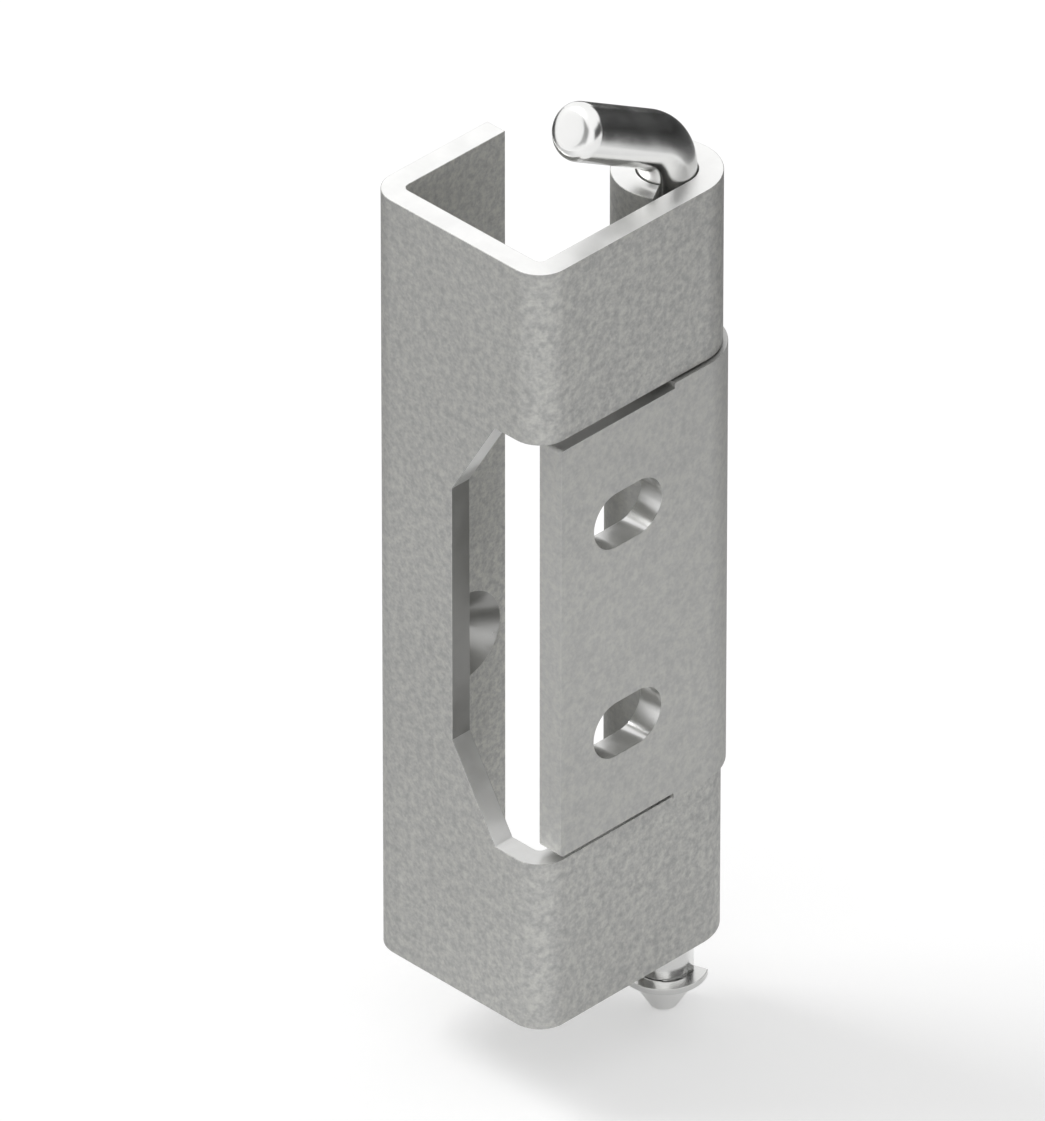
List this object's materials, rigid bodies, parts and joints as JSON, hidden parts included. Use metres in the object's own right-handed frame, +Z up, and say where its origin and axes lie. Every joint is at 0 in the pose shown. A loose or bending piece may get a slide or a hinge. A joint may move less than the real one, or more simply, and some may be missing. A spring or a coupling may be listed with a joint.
{
  "type": "concealed sheet-metal hinge",
  "caption": "Concealed hinge of folded sheet: a bracket with rolled knuckles, a slotted leaf, and a bent pin kept in place by a retaining ring.",
  "frame": {"origin": "midway between the bracket's two screw holes, on the flange's outside face", "axes": "+Z up along the pin, +X from the flange to the leaf, +Y from the web to the pin"},
  "size_m": [0.0245, 0.0293, 0.1131],
  "materials": {
    "bracket_steel": "satin stainless sheet with a fine mottled grain and bright cut edges",
    "leaf_steel": "satin stainless sheet with a fine mottled grain and bright cut edges",
    "pin_steel": "smooth bright drawn rod",
    "ring_steel": "smooth stamped spring steel"
  },
  "bodies": {
    "bracket": {"bracket": "bracket_steel"},
    "leaf": {"leaf": "leaf_steel"},
    "retaining_ring": {"retaining_ring": "ring_steel"},
    "pin": {"pin": "pin_steel"}
  },
  "joints": [
    {"name": "leaf_swing", "type": "hinge", "parent": "bracket", "child": "leaf", "pos_m": [0.0184, 0.0123, 0], "axis": [0, 0, 1], "range_deg": [0, 120]},
    {"name": "pin_lift", "type": "slide", "parent": "bracket", "child": "retaining_ring", "axis": [0, 0, 1], "range_m": [0, 0.0053]},
    {"name": "pin_swivel", "type": "hinge", "parent": "retaining_ring", "child": "pin", "pos_m": [0.0184, 0.0123, 0], "axis": [0, 0, 1], "continuous": true}
  ]
}
